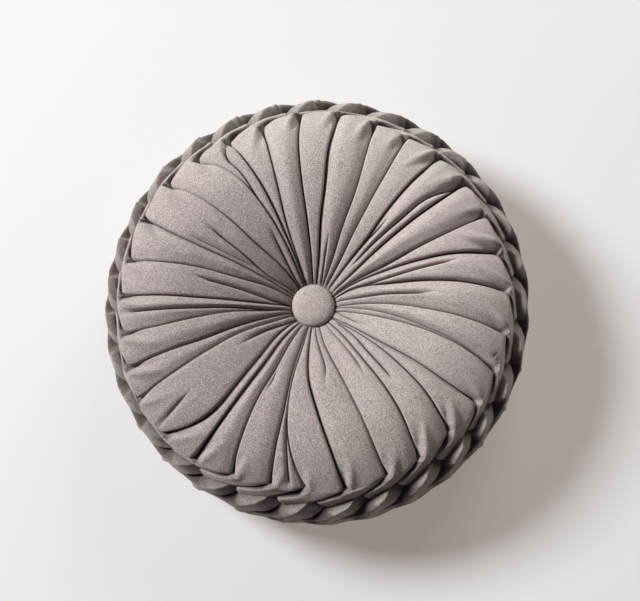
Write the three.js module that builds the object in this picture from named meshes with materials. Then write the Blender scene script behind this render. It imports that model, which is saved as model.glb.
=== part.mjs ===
// Round velvet cushion, in millimetres, +Z up, lying on its back with its lowest point at z = 0.
//
// A tube of cloth is smocked into a braided wall, and both ends are drawn in over the filling
// in radial pleats, each held in the middle by a covered button. The cover is one filled
// solid whose points are raised into the pleats and the braid. The two buttons are pieces of
// their own.
//
// Columns of the cover's mesh follow the pleats: column 0 lies in the crease at the first knot,
// column 1 in the crease at the next one, and so on. Fractions lie across the pleat between.

import * as THREE from 'three';

// Driving sizes
const KNOT_RADIUS = 165;          // ring of knots where the pleats of the face end
const KNOT_HEIGHT = 36;           // that ring above the middle of the wall
const FULL_THICKNESS = 115;       // free thickness of the filled cushion, before it settles
const SETTLE = 3;                 // depth by which its weight flattens the face it lies on
const SHOULDER_SLOPE = 40;        // degrees, slope of the cover at the knot ring
const SHOULDER_START = 130;       // radius where the face begins to round over to that slope
const BRAID_ROWS = 4;             // rows of smocking from one knot ring to the other
const BRAID_LEAN = 1.5;           // pleats that a braid band moves sideways in one row
const ROW_SPREAD = 0.25;          // rows by which the first tips stay nearer the knots than even rows would
const WALL_REACH = 1.5;           // how far the wall bulges past its rounded section, all round
const OVAL = 3;                   // and how much more towards +Y and -Y, where the cushion is longer
const REACH_ROWS = 1.4;           // rows below the knots where that bulge is whole
const BUTTON_RADIUS = 19;
const BUTTON_BACK_ROUNDING = 1;
const BUTTON_EDGE = 3.5;          // height of the button's side below its dome
const BUTTON_DOME = 6.5;
const BUTTON_GAP = 0.3;           // air between a button and the cover under it
const BUTTON_SHIFT = -2.2;        // how far the buttons pull the middle of both faces along X
const SHIFT_START = 25;           // radius out to which the cloth follows them all the way
const SHIFT_END = 125;            // and from which it stays in its place
const BUTTON_SIDES = 36;
const DOME_STEPS = 6;

// Creases of the face, one row for each knot, counter-clockwise from +X. Each column is the
// crease's direction in degrees at one of these shares of the knot radius.
const CREASE_STATIONS = [
  { name: 'knot', share: 1.0 },
  { name: 'outer', share: 0.8 },
  { name: 'middle', share: 0.6 },
  { name: 'inner', share: 0.4 },
  { name: 'hub', share: 0.2 },
];
const CREASES = [
  { knot: 1.4, outer: 4.6, middle: 7.5, inner: 11.0, hub: 18.5 },
  { knot: 13.4, outer: 16.4, middle: 18.8, inner: 21.0, hub: 24.3 },
  { knot: 25.7, outer: 24.7, middle: 24.6, inner: 23.9, hub: 26.2 },
  { knot: 37.6, outer: 37.5, middle: 37.8, inner: 37.0, hub: 34.6 },
  { knot: 49.0, outer: 49.9, middle: 49.9, inner: 48.0, hub: 47.2 },
  { knot: 60.6, outer: 59.7, middle: 59.3, inner: 58.0, hub: 55.3 },
  { knot: 71.0, outer: 69.5, middle: 67.8, inner: 66.9, hub: 63.8 },
  { knot: 82.5, outer: 84.5, middle: 84.5, inner: 84.5, hub: 82.0 },
  { knot: 94.2, outer: 95.3, middle: 94.9, inner: 92.9, hub: 90.6 },
  { knot: 106.4, outer: 106.9, middle: 107.6, inner: 108.8, hub: 108.0 },
  { knot: 117.9, outer: 115.8, middle: 113.8, inner: 112.4, hub: 110.5 },
  { knot: 129.2, outer: 122.6, middle: 119.1, inner: 116.3, hub: 114.5 },
  { knot: 140.8, outer: 137.9, middle: 136.2, inner: 134.9, hub: 129.8 },
  { knot: 153.3, outer: 154.6, middle: 154.5, inner: 153.3, hub: 151.8 },
  { knot: 167.0, outer: 166.0, middle: 164.5, inner: 163.2, hub: 159.2 },
  { knot: 178.1, outer: 178.6, middle: 179.4, inner: 180.2, hub: 181.0 },
  { knot: 189.9, outer: 190.8, middle: 190.3, inner: 189.5, hub: 191.5 },
  { knot: 200.2, outer: 200.7, middle: 201.3, inner: 200.3, hub: 200.1 },
  { knot: 209.8, outer: 209.1, middle: 207.6, inner: 206.0, hub: 207.1 },
  { knot: 222.5, outer: 229.0, middle: 229.0, inner: 227.3, hub: 222.7 },
  { knot: 233.6, outer: 233.9, middle: 233.9, inner: 233.7, hub: 231.1 },
  { knot: 245.4, outer: 243.5, middle: 242.3, inner: 243.3, hub: 242.3 },
  { knot: 257.0, outer: 256.4, middle: 256.2, inner: 255.3, hub: 256.0 },
  { knot: 267.3, outer: 261.4, middle: 257.9, inner: 256.9, hub: 258.5 },
  { knot: 278.9, outer: 275.8, middle: 271.6, inner: 266.5, hub: 265.7 },
  { knot: 291.9, outer: 292.0, middle: 291.5, inner: 289.9, hub: 286.4 },
  { knot: 302.4, outer: 305.9, middle: 308.2, inner: 309.8, hub: 312.4 },
  { knot: 314.5, outer: 318.2, middle: 320.8, inner: 323.2, hub: 324.0 },
  { knot: 326.4, outer: 326.3, middle: 326.8, inner: 326.5, hub: 327.0 },
  { knot: 337.2, outer: 340.0, middle: 342.1, inner: 343.6, hub: 344.4 },
  { knot: 348.6, outer: 350.7, middle: 352.5, inner: 354.8, hub: 356.1 },
];

// Rings of the face, from the flat seat under the button out to the knots: how far the creases
// lie below the top of the crown, and how far the pleats between them stand up from there.
const FACE_RINGS = [
  { radius: 19.8, drop: 44.0, puff: 0.0 },
  { radius: 23.5, drop: 41.6, puff: 3.7 },
  { radius: 36.0, drop: 33.2, puff: 5.1 },
  { radius: 54.0, drop: 24.2, puff: 6.5 },
  { radius: 80.0, drop: 15.2, puff: 8.3 },
  { radius: 108.0, drop: 10.0, puff: 9.1 },
  { radius: 132.0, drop: 10.2, puff: 9.2 },
  { radius: 152.0, drop: 15.6, puff: 8.9 },
];

// Places across one pleat that carry a column of points, and the height of the pleat there
// as a share of its puff: a narrow crease, then a rounded back with a fuller far edge.
const ACROSS = [
  { place: 0.0, rise: 0.0 },
  { place: 0.1, rise: 0.58 },
  { place: 0.4, rise: 0.97 },
  { place: 0.5, rise: 1.0 },
  { place: 0.6, rise: 1.0 },
  { place: 0.9, rise: 0.7 },
];

// Heights across a braid band: a pocket behind the neighbour, a rounded crest, and a back that
// falls to the crisp outer edge.
const BRAID_ACROSS = [
  { place: 0.0, rise: 0.0 },
  { place: 0.1, rise: 0.15 },
  { place: 0.4, rise: 1.0 },
  { place: 0.5, rise: 0.98 },
  { place: 0.6, rise: 0.94 },
  { place: 0.9, rise: 0.82 },
];
const BRAID_PUFF = 8.0;
const BRAID_TUCK = 4.0;           // depth by which a band's start lies under the row before it
const TUCK_SHARE = 0.6;           // share of the band's length over which it comes out again
const TIP_SHIFT = 0.49;           // rows between the outer and the inner end of a band's tip
const FIRST_TIP = 0.97;           // rows from the knots to the tips of the first bands
const SECOND_TIP = 1.97;
const MIDDLE_PUFF = 5.0;          // the bands between the second tips of the two halves
const THIN_PLEAT_RISE = 0.3;      // share of its height that a pleat keeps where it is squeezed

// Rings along the bands of each row, as shares of the band's length
const FIRST_BAND_RINGS = [0.45, 0.97];
const SECOND_BAND_RINGS = [0.04, 0.5, 0.97];

const CLOTH = new THREE.MeshStandardMaterial({ color: 0xa89d97, roughness: 0.95, metalness: 0 });
const BUTTON_CLOTH = new THREE.MeshStandardMaterial({ color: 0xa3978f, roughness: 0.95, metalness: 0 });

// Measures worked out from the sizes above
const PLEATS = CREASES.length;
const PLEAT_ANGLE = 360 / PLEATS;
const HALF_THICKNESS = FULL_THICKNESS / 2;
const HALF_ROWS = BRAID_ROWS / 2;
const FACE_SWAP = BRAID_ROWS * BRAID_LEAN;   // column of one face that meets column 0 of the other
const SHOULDER = THREE.MathUtils.degToRad(SHOULDER_SLOPE);
const WALL_CURVE = KNOT_HEIGHT / Math.cos(SHOULDER);   // radius of the wall's rounded section
const SEAT_HEIGHT = HALF_THICKNESS - FACE_RINGS[0].drop;

const { lerp, smoothstep } = THREE.MathUtils;
const fraction = (x) => x - Math.floor(x);

// Height share across a pleat or band, read off one of the tables above.
function acrossRise(table, place) {
  const at = fraction(place);
  const next = table.findIndex((row) => row.place > at);
  const from = next < 0 ? table[table.length - 1] : table[next - 1];
  const to = next < 0 ? { place: 1, rise: table[0].rise } : table[next];
  return lerp(from.rise, to.rise, (at - from.place) / (to.place - from.place));
}

// Direction, in degrees, of the whole-numbered crease at a share of the knot radius.
function creaseAngle(index, share) {
  const turns = Math.floor(index / PLEATS);
  const row = CREASES[index - turns * PLEATS];
  const next = CREASE_STATIONS.findIndex((station) => station.share <= share);
  if (next < 0) {
    return row.hub + 360 * turns;
  }
  const inner = CREASE_STATIONS[next];
  const outer = CREASE_STATIONS[Math.max(0, next - 1)];
  const span = Math.max(outer.share - inner.share, Number.EPSILON);
  const mix = (share - inner.share) / span;
  return lerp(row[inner.name], row[outer.name], Math.min(1, mix)) + 360 * turns;
}

// Direction of any column, whole or not, at a share of the knot radius.
function columnAngle(column, share) {
  const index = Math.floor(column);
  return lerp(creaseAngle(index, share), creaseAngle(index + 1, share), column - index);
}

// Width of the pleat that holds a column, as a share of an even pleat's width.
function pleatWidth(column, share) {
  const index = Math.floor(column);
  return (creaseAngle(index + 1, share) - creaseAngle(index, share)) / PLEAT_ANGLE;
}

// A point in the section plane, moved out along the section's normal.
function raised(radius, height, normalAngle, rise) {
  return {
    radius: radius + rise * Math.sin(normalAngle),
    height: height + rise * Math.cos(normalAngle),
  };
}

// Point of one face's half of the cover in that face's own frame: radius, direction and
// height above the middle of the wall.
function facePoint(column, ring) {
  const row = FACE_RINGS[ring];
  const share = row.radius / KNOT_RADIUS;
  const fullness = lerp(THIN_PLEAT_RISE, 1, Math.min(1, pleatWidth(column, share)));
  const rise = row.puff * fullness * acrossRise(ACROSS, column);
  const slope = SHOULDER * smoothstep(row.radius, SHOULDER_START, KNOT_RADIUS);
  const point = raised(row.radius, HALF_THICKNESS - row.drop, slope, rise);
  return { ...point, angle: columnAngle(column, share) };
}

// Rows from the knots to the tip line of the first or second bands, along one column.
function tipLine(tip, place) {
  return tip - TIP_SHIFT * (1 - fraction(place));
}

// Point of the braided wall, a number of rows below the knots of its own face.
function wallPoint(column, rows, rise) {
  const down = rows - ROW_SPREAD * Math.sin((Math.PI * rows) / HALF_ROWS);
  const slope = lerp(SHOULDER, Math.PI / 2, down / HALF_ROWS);
  const angle = wallAngle(column, rows);
  const radius = KNOT_RADIUS + WALL_CURVE * (Math.sin(slope) - Math.sin(SHOULDER))
    + wallReach(angle, rows);
  const height = WALL_CURVE * Math.cos(slope);
  return { ...raised(radius, height, slope, rise), angle };
}

// How far the wall bulges past its rounded section. Rows are counted from either ring of knots.
function wallReach(angle, rows) {
  const share = smoothstep(Math.min(rows, BRAID_ROWS - rows), 0, REACH_ROWS);
  return share * (WALL_REACH + OVAL * Math.sin(THREE.MathUtils.degToRad(angle)) ** 2);
}

// Along the wall a column leans over and passes from one face's knots to the other's.
function wallAngle(column, rows) {
  const lean = BRAID_LEAN * PLEAT_ANGLE;
  const near = columnAngle(column, 1) - lean * rows;
  const far = -(columnAngle(FACE_SWAP - column, 1) - lean * (BRAID_ROWS - rows));
  return lerp(near, far, smoothstep(rows, 0, BRAID_ROWS));
}

// Rings of the wall from the knots to the equator, each a function of the column.
const WALL_RINGS = [
  (column) => wallPoint(column, 0, BRAID_PUFF * acrossRise(ACROSS, column)),
  ...FIRST_BAND_RINGS.map((along) => (column) => firstBand(column, along)),
  ...SECOND_BAND_RINGS.map((along) => (column) => secondBand(column, along)),
  (column) => wallPoint(column, tipLine(SECOND_TIP, column), 0),
];

// Bands of the first row lead on from the pleats.
function firstBand(column, along) {
  const rows = along * tipLine(FIRST_TIP, column);
  return wallPoint(column, rows, BRAID_PUFF * acrossRise(BRAID_ACROSS, column));
}

// Bands of the second row come from under the first tips, in the same columns.
function secondBand(column, along) {
  const start = tipLine(FIRST_TIP, column);
  const end = tipLine(SECOND_TIP, column);
  const tuck = BRAID_TUCK * (1 - smoothstep(along, 0, TUCK_SHARE));
  const rise = BRAID_PUFF * acrossRise(BRAID_ACROSS, column) - tuck;
  return wallPoint(column, lerp(start, end, along), Math.max(0, rise));
}

// The middle of the wall slants with the tips on both sides of it.
function equatorRing(column) {
  const rows = HALF_ROWS + TIP_SHIFT * (fraction(column) - 0.5);
  return wallPoint(column, rows, MIDDLE_PUFF * acrossRise(ACROSS, column));
}

// All rings of one face's half, from the button's seat to the last ring before the equator.
const HALF_RINGS = [
  ...FACE_RINGS.map((row, ring) => (column) => facePoint(column, ring)),
  ...WALL_RINGS,
];

// The point in the part's own frame. The lower face settles flat on the surface below.
function toFrame({ radius, angle, height }, side) {
  const turn = THREE.MathUtils.degToRad(side * angle);
  const pulled = BUTTON_SHIFT * (1 - smoothstep(radius, SHIFT_START, SHIFT_END));
  const z = HALF_THICKNESS + side * height - SETTLE;
  return new THREE.Vector3(
    pulled + radius * Math.cos(turn),
    radius * Math.sin(turn),
    Math.max(0, z),
  );
}

function coverGeometry() {
  const columns = [];
  for (let pleat = 0; pleat < PLEATS; pleat += 1) {
    ACROSS.forEach((row) => columns.push(pleat + row.place));
  }
  const upper = [...HALF_RINGS, equatorRing].map(
    (ring) => columns.map((column) => toFrame(ring(column), 1)),
  );
  const lower = HALF_RINGS.map(
    (ring) => columns.map((column) => toFrame(ring(FACE_SWAP - column), -1)),
  );
  const rings = [...upper, ...lower.reverse()];

  const points = rings.flat();
  const topCentre = points.length;
  const backCentre = topCentre + 1;
  points.push(toFrame({ radius: 0, angle: 0, height: SEAT_HEIGHT }, 1));
  points.push(toFrame({ radius: 0, angle: 0, height: SEAT_HEIGHT }, -1));

  const across = columns.length;
  const lastRing = (rings.length - 1) * across;
  const triangles = [];
  for (let here = 0; here < across; here += 1) {
    const next = (here + 1) % across;
    triangles.push(topCentre, here, next);
    for (let start = 0; start < lastRing; start += across) {
      const [a, b] = [start + here, start + next];
      const [c, d] = [a + across, b + across];
      triangles.push(a, c, b, b, c, d);
    }
    triangles.push(backCentre, lastRing + next, lastRing + here);
  }
  const geometry = new THREE.BufferGeometry().setFromPoints(points);
  geometry.setIndex(triangles);
  return geometry;
}

// A covered button: a flat back, a short rounded side and a low dome, turned about its axis.
function buttonGeometry() {
  const profile = [
    new THREE.Vector2(0, 0),
    new THREE.Vector2(BUTTON_RADIUS - BUTTON_BACK_ROUNDING, 0),
    new THREE.Vector2(BUTTON_RADIUS, BUTTON_BACK_ROUNDING),
  ];
  for (let step = 0; step < DOME_STEPS; step += 1) {
    const turn = (step / DOME_STEPS) * (Math.PI / 2);
    const height = BUTTON_EDGE + BUTTON_DOME * Math.sin(turn);
    profile.push(new THREE.Vector2(BUTTON_RADIUS * Math.cos(turn), height));
  }
  profile.push(new THREE.Vector2(0, BUTTON_EDGE + BUTTON_DOME));
  const geometry = new THREE.LatheGeometry(profile, BUTTON_SIDES);
  geometry.rotateX(Math.PI / 2);
  return geometry;
}

function named(name, geometry, material) {
  const mesh = new THREE.Mesh(geometry, material);
  mesh.name = name;
  return mesh;
}

const coverShape = coverGeometry();
coverShape.computeBoundingBox();
const middle = coverShape.boundingBox.getCenter(new THREE.Vector3());

const buttonHeight = SEAT_HEIGHT + BUTTON_GAP;
const buttonTop = named('button_top', buttonGeometry(), BUTTON_CLOTH);
buttonTop.position.set(BUTTON_SHIFT, 0, HALF_THICKNESS + buttonHeight - SETTLE);

const buttonBack = named('button_back', buttonGeometry(), BUTTON_CLOTH);
buttonBack.rotation.x = Math.PI;
buttonBack.position.set(BUTTON_SHIFT, 0, HALF_THICKNESS - buttonHeight - SETTLE);

// The frame's origin is the middle of the cushion's footprint.
const cushion = new THREE.Group();
cushion.add(named('cover', coverShape, CLOTH), buttonTop, buttonBack);
cushion.position.set(-middle.x, -middle.y, 0);

export default cushion;
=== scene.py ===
# %% [markdown]
# # A round velvet cushion with pleats and a braided wall
#
# The cushion is a tube of velvet. Its wall is smocked: small stitches on the wrong side pull the
# cloth into bands that look braided. Both ends of the tube are drawn in over the filling in
# radial pleats, and a covered button holds each end in the middle. This lesson starts from the
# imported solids, which give every piece its place and size, and makes the cloth over them.

# %% [markdown]
# ## The frame
#
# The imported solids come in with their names, places and sizes. They are only measured here and are
# left as they are. Nothing stays selected, so that no later step changes one of them by mistake.

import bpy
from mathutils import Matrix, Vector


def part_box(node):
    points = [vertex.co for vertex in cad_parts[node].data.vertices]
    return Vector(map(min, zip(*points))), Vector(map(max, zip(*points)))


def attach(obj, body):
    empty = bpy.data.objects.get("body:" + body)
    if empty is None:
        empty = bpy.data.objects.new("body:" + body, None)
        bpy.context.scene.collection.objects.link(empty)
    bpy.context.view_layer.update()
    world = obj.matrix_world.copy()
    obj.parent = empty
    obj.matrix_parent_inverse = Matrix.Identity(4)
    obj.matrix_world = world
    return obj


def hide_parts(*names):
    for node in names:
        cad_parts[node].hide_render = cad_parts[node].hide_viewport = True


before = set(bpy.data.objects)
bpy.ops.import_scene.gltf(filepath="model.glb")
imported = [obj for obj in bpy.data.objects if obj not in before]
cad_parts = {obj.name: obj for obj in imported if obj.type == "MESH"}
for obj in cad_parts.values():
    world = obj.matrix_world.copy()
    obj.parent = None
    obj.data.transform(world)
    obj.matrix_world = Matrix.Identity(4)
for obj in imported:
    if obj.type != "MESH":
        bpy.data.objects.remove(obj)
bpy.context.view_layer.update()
print("nodes:", sorted(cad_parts))

# %% Modules and units
import math

import bpy
import numpy as np
from mathutils import Matrix, Vector

MM = 0.001

bpy.ops.object.select_all(action="DESELECT")
button_low, button_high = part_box("button_top")
BUTTON_X = (button_low[0] + button_high[0]) / 2
BUTTON_Y = (button_low[1] + button_high[1]) / 2
print("middle of the top button:", round(BUTTON_X / MM, 1), round(BUTTON_Y / MM, 1), "mm")

# %% [markdown]
# ## Sizes
#
# The same driving sizes as the solids have, in millimetres. The knots are where the pleats of a
# face are caught at the rim. From there the wall rounds over and runs down in rows of bands. The
# buttons pull the middle of both faces to one side, so the axis of the wall lies beside them.

# %% Driving sizes
KNOT_RADIUS = 165.0
KNOT_HEIGHT = 36.0
FULL_THICKNESS = 115.0
SETTLE = 3.0
SHOULDER = math.radians(40.0)
SHOULDER_START = 130.0
BRAID_ROWS = 4
BRAID_LEAN = 1.5
SEAT_RADIUS = 19.8
BUTTON_SHIFT = -2.2
SHIFT_START = 25.0
SHIFT_END = 125.0

AXIS_X = BUTTON_X - BUTTON_SHIFT * MM
AXIS_Y = BUTTON_Y
HALF_THICKNESS = FULL_THICKNESS / 2
HALF_ROWS = BRAID_ROWS / 2
FACE_SWAP = round(BRAID_ROWS * BRAID_LEAN)
WALL_CURVE = KNOT_HEIGHT / math.cos(SHOULDER)
WALL_LENGTH = WALL_CURVE * (math.pi / 2 - SHOULDER)
ROW_PITCH = WALL_LENGTH / HALF_ROWS
print("row pitch", round(ROW_PITCH, 1), "mm")

# %% [markdown]
# ## The creases
#
# On the real cushion each crease was pulled by hand, so no two run alike. A table holds one row
# for each crease: its direction in degrees at the knots, and at shares of the knot radius on the
# way in to the button, then how far out its knot lies, as a share of the radius of a circle drawn
# through the knots, and how far the crease gapes, in mm. All were read off the photograph.
# A second table holds the folds that start inside a pleat, where the cloth has to crowd together
# as the circle gets smaller.

# %% Crease table
CREASE_SHARES = np.array([0.12, 0.2, 0.4, 0.6, 0.8, 1.0])
USUAL_REACH = 1.012
CREASES = [
    # knot, outer, middle, inner, hub, reach, gap
    (1.4, 4.6, 7.5, 11.0, 18.5, 1.004, 2.0),
    (13.4, 16.4, 18.8, 21.0, 24.3, 0.989, 1.7),
    (25.7, 24.7, 24.6, 23.9, 26.2, 0.985, 0.9),
    (37.6, 37.5, 37.8, 37.0, 34.6, 0.996, 2.0),
    (49.0, 49.9, 49.9, 48.0, 47.2, 1.004, 1.2),
    (60.6, 59.7, 59.3, 58.0, 55.3, 0.996, 0.9),
    (71.0, 69.5, 67.8, 66.9, 63.8, 0.9985, 1.2),
    (82.5, 84.5, 84.5, 84.5, 82.0, 1.0145, 2.1),
    (94.2, 95.3, 94.9, 92.9, 90.6, 1.011, 1.5),
    (106.4, 106.9, 107.6, 108.8, 108.0, 0.985, 0.9),
    (117.9, 115.8, 113.8, 112.4, 110.5, 0.982, 1.0),
    (129.2, 122.6, 119.1, 116.3, 114.5, 0.985, 1.0),
    (140.8, 137.9, 136.2, 134.9, 129.8, 1.0015, 0.4),
    (153.3, 154.6, 154.5, 153.3, 151.8, 1.004, 0.4),
    (167.0, 166.0, 164.5, 163.2, 159.2, 0.996, 0.4),
    (178.1, 178.6, 179.4, 180.2, 181.0, 1.004, 0.7),
    (189.9, 190.8, 190.3, 189.5, 191.5, 1.004, 0.4),
    (200.2, 200.7, 201.3, 200.3, 200.1, 1.022, 1.0),
    (209.8, 209.1, 207.6, 206.0, 207.1, 1.044, 0.7),
    (222.5, 229.0, 229.0, 227.3, 222.7, 1.040, 0.8),
    (233.6, 233.9, 233.9, 233.7, 231.1, 1.036, 2.1),
    (245.4, 243.5, 242.3, 243.3, 242.3, 1.011, 1.2),
    (257.0, 256.4, 256.2, 255.3, 256.0, 0.996, 1.4),
    (267.3, 261.4, 257.9, 256.9, 258.5, 0.989, 0.7),
    (278.9, 275.8, 271.6, 266.5, 265.7, 1.011, 1.0),
    (291.9, 292.0, 291.5, 289.9, 286.4, 1.004, 0.9),
    (302.4, 305.9, 308.2, 309.8, 312.4, 1.000, 1.0),
    (314.5, 318.2, 320.8, 323.2, 324.0, 0.985, 1.0),
    (326.4, 326.3, 326.8, 326.5, 327.0, 1.007, 1.3),
    (337.2, 340.0, 342.1, 343.6, 344.4, 1.004, 1.5),
    (348.6, 350.7, 352.5, 354.8, 356.1, 1.004, 1.3),
]
PLEATS = len(CREASES)
PLEAT_ANGLE = 360.0 / PLEATS

crease_table = np.array(CREASES)
crease_rows = crease_table[:, [4, 4, 3, 2, 1, 0]].T
knot_reach = (crease_table[:, 5] - USUAL_REACH) * KNOT_RADIUS
crease_gap = crease_table[:, 6]
print(PLEATS, "pleats,", round(math.radians(PLEAT_ANGLE) * KNOT_RADIUS, 1), "mm wide at the knots")

# %% Fold table
# pleat, then (share of the knot radius, degrees) from the outer end inwards, then depth
FOLDS = [
    (30, ((0.64, 360.5), (0.5, 361.3), (0.4, 362.6), (0.2, 365.2), (0.13, 368.0)), 1.0),
    (0, ((0.78, 13.3), (0.6, 14.1), (0.4, 14.7), (0.31, 15.6), (0.2, 19.6)), 0.9),
    (3, ((1.0, 37.7), (0.9, 38.9), (0.8, 40.7), (0.6, 41.4), (0.4, 42.1), (0.28, 41.8)), 1.0),
    (3, ((0.58, 46.1), (0.5, 46.4), (0.4, 47.5), (0.3, 47.6)), 0.8),
    (6, ((0.36, 75.6), (0.25, 74.4), (0.17, 71.5), (0.12, 69.2)), 0.9),
    (10, ((1.0, 118.3), (0.92, 121.0), (0.8, 119.7), (0.7, 119.1), (0.6, 118.7)), 1.0),
    (11, ((0.44, 120.7), (0.3, 122.0), (0.2, 123.5), (0.13, 124.8)), 0.9),
    (12, ((0.69, 144.8), (0.6, 145.5), (0.4, 146.5), (0.3, 148.0), (0.2, 146.8), (0.13, 143.0)), 1.0),
    (12, ((0.74, 152.7), (0.6, 152.2), (0.4, 150.3), (0.32, 149.2)), 0.8),
    (14, ((0.63, 169.5), (0.55, 170.2), (0.4, 171.3), (0.28, 173.7), (0.2, 176.8), (0.13, 179.7)), 1.0),
    (15, ((1.0, 183.4), (0.8, 184.5), (0.6, 185.3), (0.42, 186.2), (0.33, 187.4), (0.2, 191.0)), 1.0),
    (18, ((0.44, 213.7), (0.35, 213.2), (0.25, 214.6), (0.18, 217.5), (0.13, 219.5)), 1.0),
    (18, ((1.0, 219.8), (0.9, 219.3), (0.8, 218.4)), 0.5),
    (21, ((0.56, 244.9), (0.5, 245.3), (0.4, 244.4)), 0.8),
    (22, ((0.98, 262.6), (0.85, 260.9), (0.72, 259.0), (0.6, 257.1)), 0.8),
    (24, ((0.47, 277.9), (0.36, 280.9), (0.28, 279.8), (0.18, 277.0), (0.12, 275.6)), 0.8),
    (25, ((0.52, 302.8), (0.4, 304.6), (0.3, 304.9), (0.2, 304.0), (0.13, 303.3)), 0.8),
    (26, ((0.64, 312.2), (0.55, 313.5), (0.4, 315.6), (0.3, 318.5), (0.2, 320.5)), 1.0),
    (28, ((0.33, 333.3), (0.22, 334.6), (0.17, 337.0), (0.13, 342.0)), 0.9),
    (29, ((0.97, 337.8), (0.8, 340.9), (0.6, 343.7), (0.4, 347.6), (0.2, 351.1), (0.13, 352.0)), 0.9),
]
print(len(FOLDS), "folds between the creases")

# %% [markdown]
# ## The section of a face
#
# Seen from the side, the face dips to the button, rises to a broad crown and rounds over into the
# wall. The table gives, at some radii, how far the creases lie below the crown and how far the
# pleats stand up between them.

# %% Face section
FACE_SECTION = np.array([
    # radius, drop, puff
    (19.8, 44.0, 0.0),
    (23.0, 42.0, 3.6),
    (30.0, 37.1, 4.6),
    (40.0, 30.9, 5.4),
    (52.0, 25.0, 6.4),
    (66.0, 19.4, 7.4),
    (82.0, 14.6, 8.4),
    (100.0, 11.2, 9.0),
    (118.0, 9.2, 9.2),
    (134.0, 10.4, 9.2),
    (148.0, 14.2, 9.0),
    (158.0, 18.2, 8.6),
    (165.0, 21.5, 8.0),
])
print("the face runs from", FACE_SECTION[0, 0], "to", FACE_SECTION[-1, 0], "mm from the middle")


def smooth_curve(places, values, at):
    """A curve through the values that passes each without a corner. Values may be rows."""
    places = np.asarray(places, float)
    values = np.asarray(values, float)
    slopes = np.gradient(values, places, axis=0)
    at = np.clip(at, places[0], places[-1])
    index = min(max(int(np.searchsorted(places, at)) - 1, 0), len(places) - 2)
    span = places[index + 1] - places[index]
    u = (at - places[index]) / span
    return (
        (2 * u**3 - 3 * u**2 + 1) * values[index]
        + (u**3 - 2 * u**2 + u) * span * slopes[index]
        + (3 * u**2 - 2 * u**3) * values[index + 1]
        + (u**3 - u**2) * span * slopes[index + 1]
    )


def blend_step(x, low, high):
    """0 below low, 1 above high, and a smooth rise between."""
    u = np.clip((x - low) / (high - low), 0, 1)
    return u * u * (3 - 2 * u)


def quarter_round(x):
    """Height share of a rounded edge: upright at x = 0, level from x = 1."""
    return np.sqrt(np.clip(1 - (1 - np.clip(x, 0, 1)) ** 2, 0, 1))


def swell(distance, width):
    """A soft swelling: 1 at no distance, a third at the width, nearly nothing at twice the width."""
    return np.exp(-((distance / width) ** 2))

# %% [markdown]
# ## Columns and rings
#
# The cloth is one grid. Columns run with the creases, and rings run round the cushion. Columns
# crowd together where the cloth turns sharply down into a crease.

# %% Columns
COLUMNS_PER_PLEAT = 24
CROWDING = 0.6
LEAST_PART = 0.07
FOLDS_END = 0.93

column_seed = np.arange(PLEATS * COLUMNS_PER_PLEAT) / COLUMNS_PER_PLEAT


def crowded(seed):
    """Column places, crowded towards the creases."""
    return seed - CROWDING * np.sin(2 * math.pi * seed) / (2 * math.pi)


def crease_ends(index, share):
    """Directions in degrees of the creases at both sides of the numbered pleats."""
    creases = smooth_curve(CREASE_SHARES, crease_rows, share)
    start = creases[index % PLEATS] + 360.0 * (index // PLEATS)
    end = creases[(index + 1) % PLEATS] + 360.0 * ((index + 1) // PLEATS)
    return start, end


def column_angle(column, share):
    """Direction in degrees of each column, and the width in degrees of the pleat that it is in."""
    index = np.floor(column).astype(int)
    start, end = crease_ends(index, share)
    return start + (end - start) * (column - index), end - start


print(len(column_seed), "columns in a ring")

# %% [markdown]
# A fold only looks sharp when a column of points runs along its bottom. So on the face the columns
# of each pleat are split at its folds, and crowd towards them as they do towards the creases.

# %% Columns along the folds
fold_routes = []
for pleat, route, depth in FOLDS:
    shares = [place for place, _ in route][::-1]
    angles = [angle for _, angle in route][::-1]
    fold_routes.append((pleat, shares, angles, depth))


def fold_places(pleat, share):
    """Where the folds of one pleat lie across it, in order, with its two creases."""
    places = [0.0]
    for fold_pleat, shares, angles, _ in fold_routes:
        if fold_pleat == pleat:
            at = min(max(share, shares[0]), shares[-1])
            start, end = crease_ends(np.array(pleat), at)
            places.append(float((smooth_curve(shares, angles, at) - start) / (end - start)))
    places = sorted(min(max(place, 0.0), 1.0) for place in places)
    return [max(place, LEAST_PART * step) for step, place in enumerate(places)] + [1.0]


def face_columns(share):
    """Column places of one ring of the face: one on every fold, but evenly spread at the knots."""
    columns = []
    for pleat in range(PLEATS):
        stops = fold_places(pleat, share)
        parts = len(stops) - 1
        seed = np.arange(COLUMNS_PER_PLEAT) / COLUMNS_PER_PLEAT * parts
        columns.append(pleat + np.interp(crowded(seed), np.arange(parts + 1), stops))
    keep = blend_step(share, FOLDS_END, 1.0)
    return np.concatenate(columns) * (1 - keep) + crowded(column_seed) * keep


print("columns:", len(column_seed), "with", len(fold_routes), "folds")

# %% [markdown]
# ## Hand-sewn unevenness
#
# No two pleats are alike: each is a little fuller or flatter, leans to one side, laps its
# neighbour more or less, and is caught a little nearer or farther out. Seeded random numbers
# give every pleat its own values. The pockets of the wall gape most on the side where the cloth was
# drawn tightest.

# %% Uneven pleats
FULLNESS_SPREAD = 0.12
TILT_SPREAD = 1.6
POCKET_USUAL = 0.85
POCKET_PULL = 0.45
PULL_DIRECTION = 150
POCKET_SPREAD = 0.25
TIP_SPREAD = 0.06
RIDGE_SPREAD = 0.45
RIDGE_REACH = 24.0
REACH_SPREAD = 8.0
HAIR = 1e-9

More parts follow.
